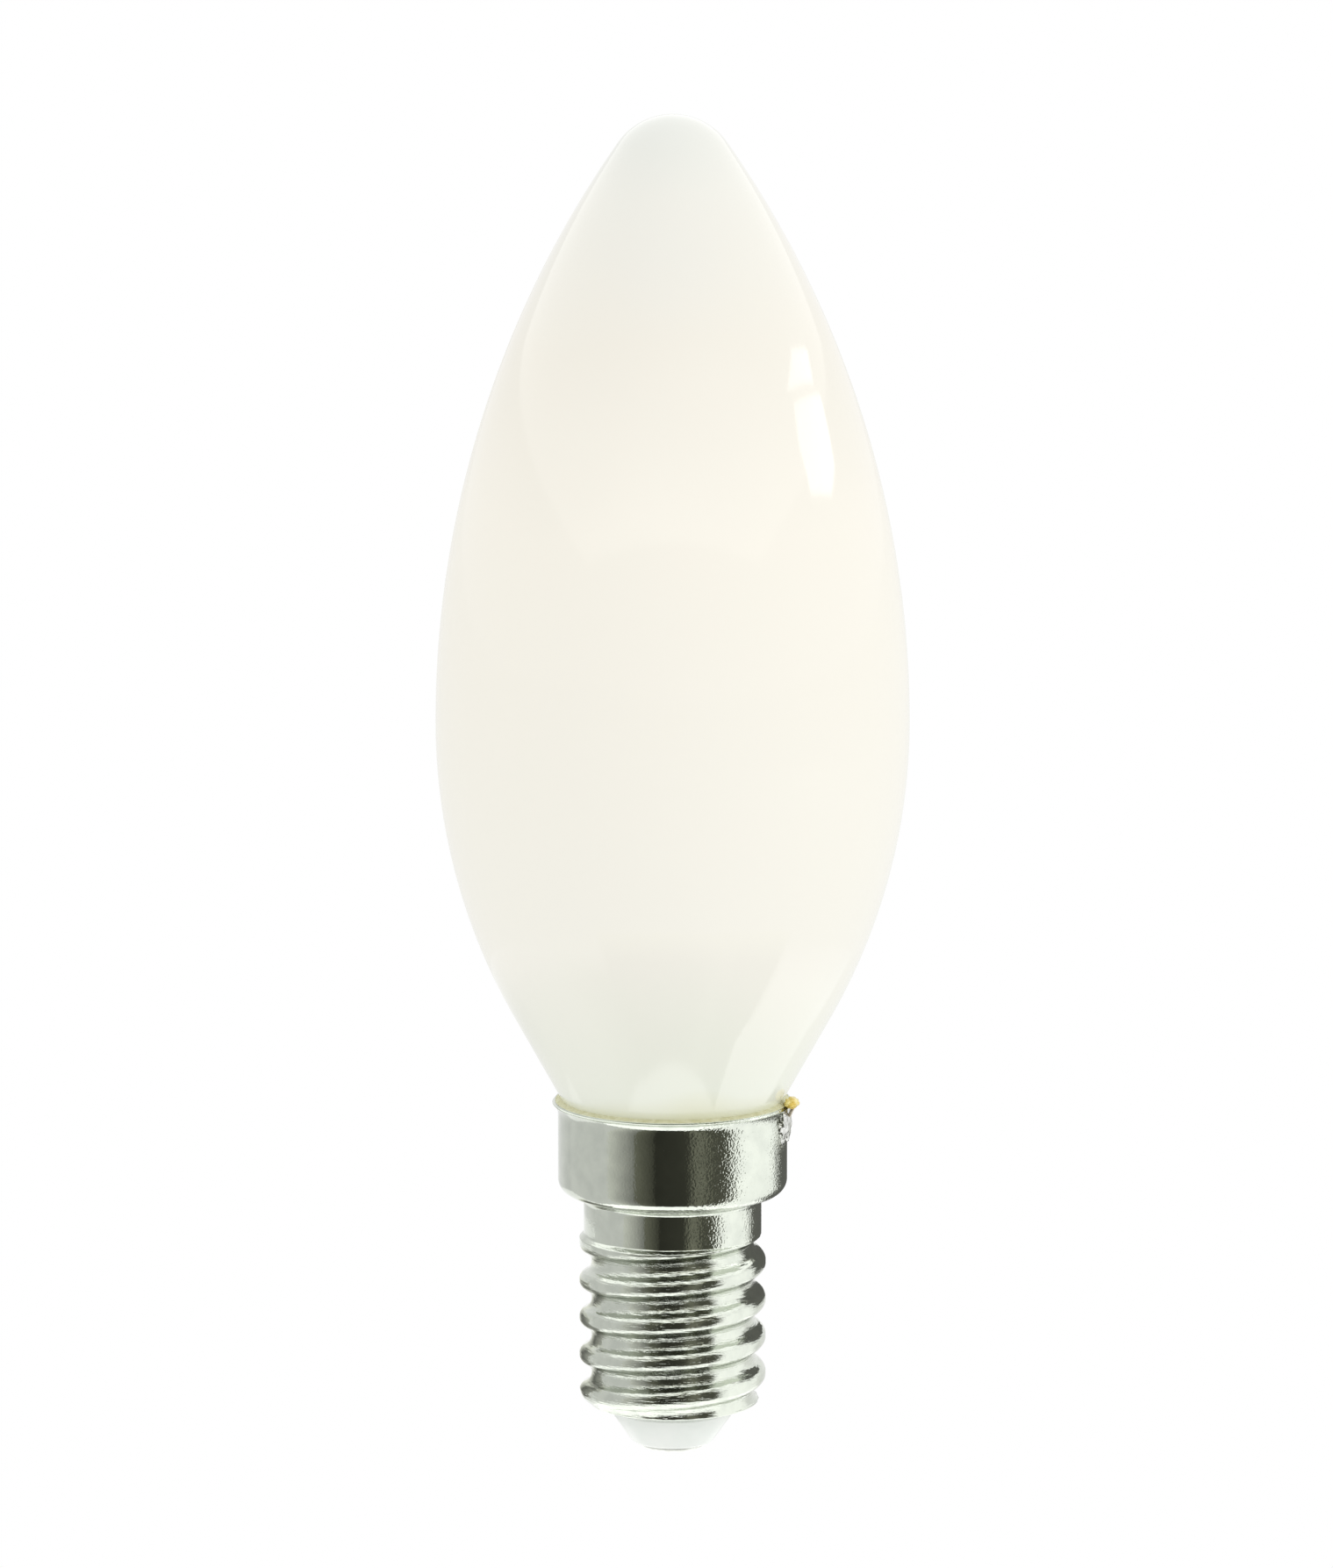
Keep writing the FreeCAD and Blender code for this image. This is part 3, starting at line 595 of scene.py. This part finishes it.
def card(name, tint, distance, first, last, first_light, last_light, *heights):
    """A curved card whose light changes evenly along it and fades at its top."""
    columns = round(abs(last - first) / COLUMN_DEGREES) + 1
    verts, lights = [], []
    for level, fade in zip(heights, (0, 0, 1)):
        for k in range(columns):
            part = k / (columns - 1)
            turn = first + (last - first) * part
            mirror, ray = direction(turn, 0) * MIRROR_RADIUS, direction(2 * turn, 0)
            along = mirror.dot(ray)
            reach = math.sqrt(along ** 2 + distance ** 2 - MIRROR_RADIUS ** 2) - along
            spot = mirror + ray * reach
            verts.append((spot.x, spot.y, level))
            own = first_light + (last_light - first_light) * part
            lights.append(own + (ROOM_LIGHT - own) * fade)
    material, tree, light = glow(name, 1, tint)
    piece = stage_mesh(name, verts, grid_faces(3, columns, wrap_columns=False), material)
    piece.data.attributes.new("light", "FLOAT", "POINT").data.foreach_set("value", lights)
    level = add_node(tree, "ShaderNodeAttribute", {"attribute_name": "light"})
    tree.links.new(level.outputs["Fac"], light.inputs["Strength"])
    only_mirrors(piece)


for row in CARDS:
    card(*row)


def square(reach, height):
    """Corners of a level square, and its one face."""
    corners = [(-reach, -reach, height), (reach, -reach, height)]
    corners += [(reach, reach, height), (-reach, reach, height)]
    return corners, [(0, 1, 2, 3)]


# A bright ceiling, mirrored by what faces up, and a bright ground, mirrored by what faces down
for name, reach, height, strength in (("ceiling", 0.35, 0.16, 1.5), ("ground", 0.042, -0.021, 1.6)):
    material = glow(f"{name} light", strength)[0]
    only_mirrors(stage_mesh(name, *square(reach, height), material))

# Two panes of a strip lamp, given by the bearings of their corners as the glass mirrors them
PANE_LIGHT, PANE_DISTANCE, PANE_CENTRE = 4, 0.2, Vector((0, 0, 0.075))
UPPER_PANE = ((96.9, 22.7), (112.5, 17.8), (106.5, 16.5), (81.5, 22.2))
LOWER_PANE = ((84.6, 20.2), (110, 14.4), (104.8, 9.2), (96.5, 8.2), (81.6, 11.1), (80.6, 17))
for name, bearings in (("pane_upper", UPPER_PANE), ("pane_lower", LOWER_PANE)):
    verts = [PANE_CENTRE + direction(turn, rise) * PANE_DISTANCE for turn, rise in bearings]
    material = glow(name, PANE_LIGHT)[0]
    only_mirrors(stage_mesh(name, verts, [tuple(range(len(verts)))], material))


def pale_floor():
    """Pale floor: plain white to the camera, matte and off-white to all that it lights."""
    material, tree, shader = new_material("pale floor")
    shader.inputs["Base Color"].default_value = linear("#F4F4F2")
    set_values(shader, Roughness=0.9)
    camera_ray = add_node(tree, "ShaderNodeLightPath").outputs["Is Camera Ray"]
    values = {"Color": linear("#FFFFFF"), "Strength": 1}
    white = add_node(tree, "ShaderNodeEmission", values=values)
    links = {0: camera_ray, 1: shader.outputs[0], 2: white.outputs[0]}
    mixed = add_node(tree, "ShaderNodeMixShader", links=links)
    tree.links.new(mixed.outputs[0], tree.nodes["Material Output"].inputs["Surface"])
    return material


FLOOR_REACH, FLOOR_HEIGHT = 6, -0.3
stage_mesh("floor", *square(FLOOR_REACH, FLOOR_HEIGHT), pale_floor())

world = bpy.data.worlds.new("studio")
bpy.context.scene.world = world
world.use_nodes = True
background = world.node_tree.nodes["Background"]
background.inputs["Color"].default_value = linear("#FFFFFF")
background.inputs["Strength"].default_value = ROOM_LIGHT

LAMP_BEARING, LAMP_DISTANCE, LAMP_AIM = direction(70, 15), 1.6, Vector((0, 0, 0.05))
lamp_data = bpy.data.lights.new("soft_lamp", "AREA")
lamp_data.shape = "RECTANGLE"
lamp_data.size, lamp_data.size_y = 0.8, 1
lamp_data.energy = 2.2
lamp = bpy.data.objects.new("soft_lamp", lamp_data)
bpy.context.scene.collection.objects.link(lamp)
lamp.location = LAMP_AIM + LAMP_BEARING * LAMP_DISTANCE
lamp.rotation_euler = facing_back(LAMP_BEARING)
lamp.visible_glossy = False

CAMERA_BEARING, CAMERA_DISTANCE = direction(0, 10.5), 1
CAMERA_AIM = Vector((-0.00045, 0, 0.05015))
SENSOR_MM, PIXELS_PER_METRE, FRAME_HEIGHT = 36, 15430, 1787
camera_data = bpy.data.cameras.new("camera")
camera_data.sensor_width = SENSOR_MM
camera_data.lens = SENSOR_MM * PIXELS_PER_METRE * CAMERA_DISTANCE / FRAME_HEIGHT
camera_data.clip_start, camera_data.clip_end = 0.01, 50
camera = bpy.data.objects.new("camera", camera_data)
bpy.context.scene.collection.objects.link(camera)
camera.location = CAMERA_AIM + CAMERA_BEARING * CAMERA_DISTANCE
camera.rotation_euler = facing_back(CAMERA_BEARING)
bpy.context.scene.camera = camera

view = bpy.context.scene.view_settings
view.view_transform = "Standard"
